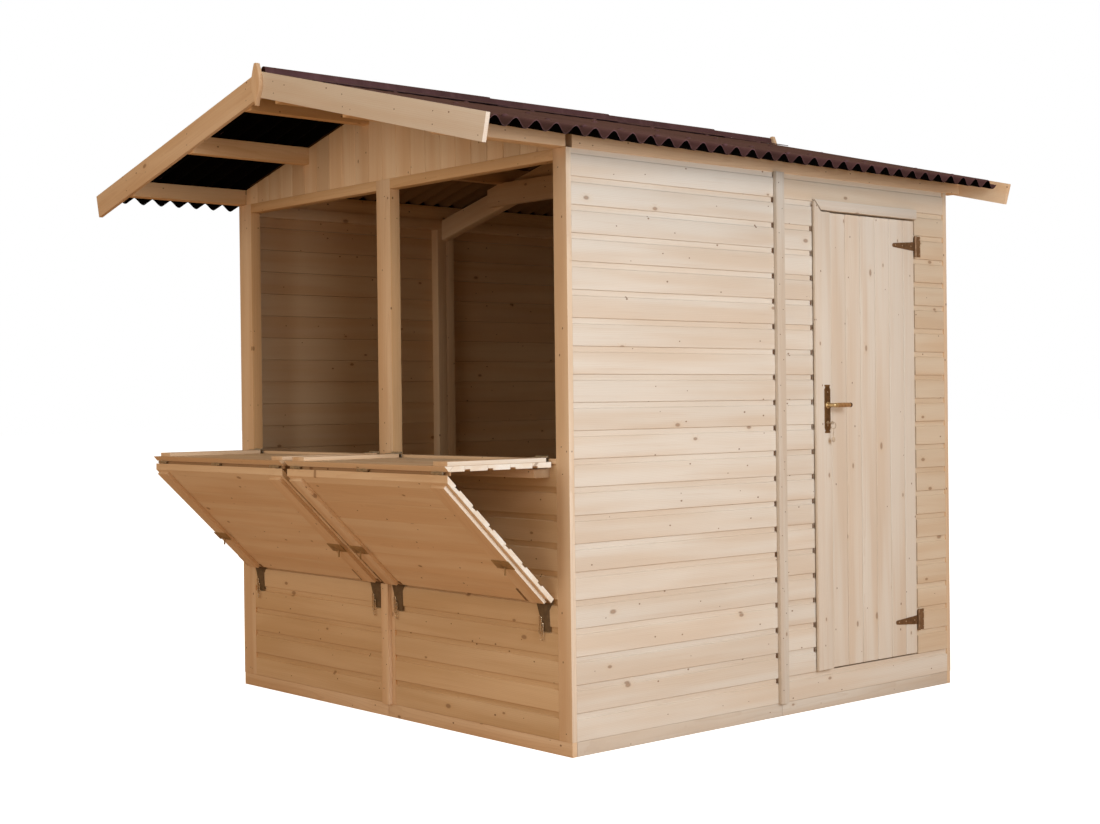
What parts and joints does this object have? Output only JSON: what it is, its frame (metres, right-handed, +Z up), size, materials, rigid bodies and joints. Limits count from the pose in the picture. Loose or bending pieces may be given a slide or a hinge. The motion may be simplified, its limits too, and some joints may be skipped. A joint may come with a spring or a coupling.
{
  "type": "wooden market stall",
  "caption": "Shiplap timber sales kiosk with serving hatches, flaps folded down as a braced counter, a side door and a low gable roof of corrugated sheets.",
  "frame": {"origin": "on the ground under the middle floor joist, at the middle of the footprint", "axes": "+Z up, +Y to the rear along the ridge, serving front faces -Y, door in the +X wall"},
  "size_m": [2.532, 2.744, 2.372],
  "materials": {
    "floor_board": "planed, natural",
    "handle_metal": "bronze lacquer",
    "hinge_steel": "brown lacquer",
    "roofing": "bitumen corrugated sheet, matt",
    "spruce": "planed, natural",
    "spruce_frame": "planed, natural",
    "zinc_steel": "zinc plated"
  },
  "bodies": {
    "stall": {"barge_boards": "spruce_frame", "counter_rail": "spruce_frame", "cover_strips": "spruce_frame", "door_head_trim": "spruce_frame", "eave_purlins": "spruce_frame", "finials": "spruce_frame", "floor_deck": "floor_board", "floor_joists": "floor_board", "front_lintel": "spruce_frame", "front_posts": "spruce_frame", "front_sill": "spruce_frame", "front_wall": "spruce", "gables": "spruce", "hinge_plates": "hinge_steel", "left_studs": "spruce_frame", "left_wall": "spruce", "mid_purlins": "spruce_frame", "middle_rafters": "spruce_frame", "rear_posts": "spruce_frame", "rear_studs": "spruce_frame", "rear_wall": "spruce", "ridge_cap": "roofing", "ridge_purlins": "spruce_frame", "right_studs": "spruce_frame", "right_wall_front": "spruce", "right_wall_rear": "spruce", "roof_sheet_left": "roofing", "roof_sheet_right": "roofing", "side_top_plates": "spruce_frame", "sill_hinges": "zinc_steel", "snap_hooks": "zinc_steel", "sole_rails": "spruce_frame", "wall_hasps": "hinge_steel"},
    "door": {"door_key": "zinc_steel", "door_leaf": "spruce", "door_ledges": "spruce_frame", "door_strip": "spruce_frame", "handle_plate": "handle_metal", "hinge_straps": "hinge_steel"},
    "lever": {"lever": "handle_metal"},
    "counter_flap_left": {"counter_battens_left": "spruce_frame", "counter_hinges_left": "zinc_steel", "counter_left": "spruce"},
    "counter_flap_right": {"counter_battens_right": "spruce_frame", "counter_hinges_right": "zinc_steel", "counter_right": "spruce"},
    "brace_flap_left": {"brace_battens_left": "spruce_frame", "brace_bolts_left": "zinc_steel", "brace_hasps_left": "hinge_steel", "brace_hinges_left": "zinc_steel", "brace_left": "spruce"},
    "brace_flap_right": {"brace_battens_right": "spruce_frame", "brace_bolts_right": "zinc_steel", "brace_hasps_right": "hinge_steel", "brace_hinges_right": "zinc_steel", "brace_right": "spruce"}
  },
  "joints": [
    {"name": "door_swing", "type": "hinge", "parent": "stall", "child": "door", "pos_m": [1.0345, 0.824, 1], "axis": [0, 0, 1], "range_deg": [0, 110]},
    {"name": "lever_turn", "type": "hinge", "parent": "door", "child": "lever", "pos_m": [1.0473, 0.254, 1.144], "axis": [-1, 0, 0], "range_deg": [0, 40], "stiffness_Nm_per_rad": 0.8, "springref_deg": -22.92},
    {"name": "counter_left_fold", "type": "hinge", "parent": "stall", "child": "counter_flap_left", "pos_m": [-0.477, -1.0445, 0.987], "axis": [-1, 0, 0], "range_deg": [0, 90]},
    {"name": "brace_left_fold", "type": "hinge", "parent": "counter_flap_left", "child": "brace_flap_left", "pos_m": [-0.477, -1.483, 0.9475], "axis": [-1, 0, 0], "range_deg": [0, 135.9]},
    {"name": "counter_right_fold", "type": "hinge", "parent": "stall", "child": "counter_flap_right", "pos_m": [0.486, -1.0445, 0.987], "axis": [-1, 0, 0], "range_deg": [0, 90]},
    {"name": "brace_right_fold", "type": "hinge", "parent": "counter_flap_right", "child": "brace_flap_right", "pos_m": [0.486, -1.483, 0.9475], "axis": [-1, 0, 0], "range_deg": [0, 135.9]}
  ],
  "couplings": [
    {"joint": "brace_left_fold", "follows": "counter_left_fold", "ratio": 1.51},
    {"joint": "brace_right_fold", "follows": "counter_right_fold", "ratio": 1.51}
  ]
}
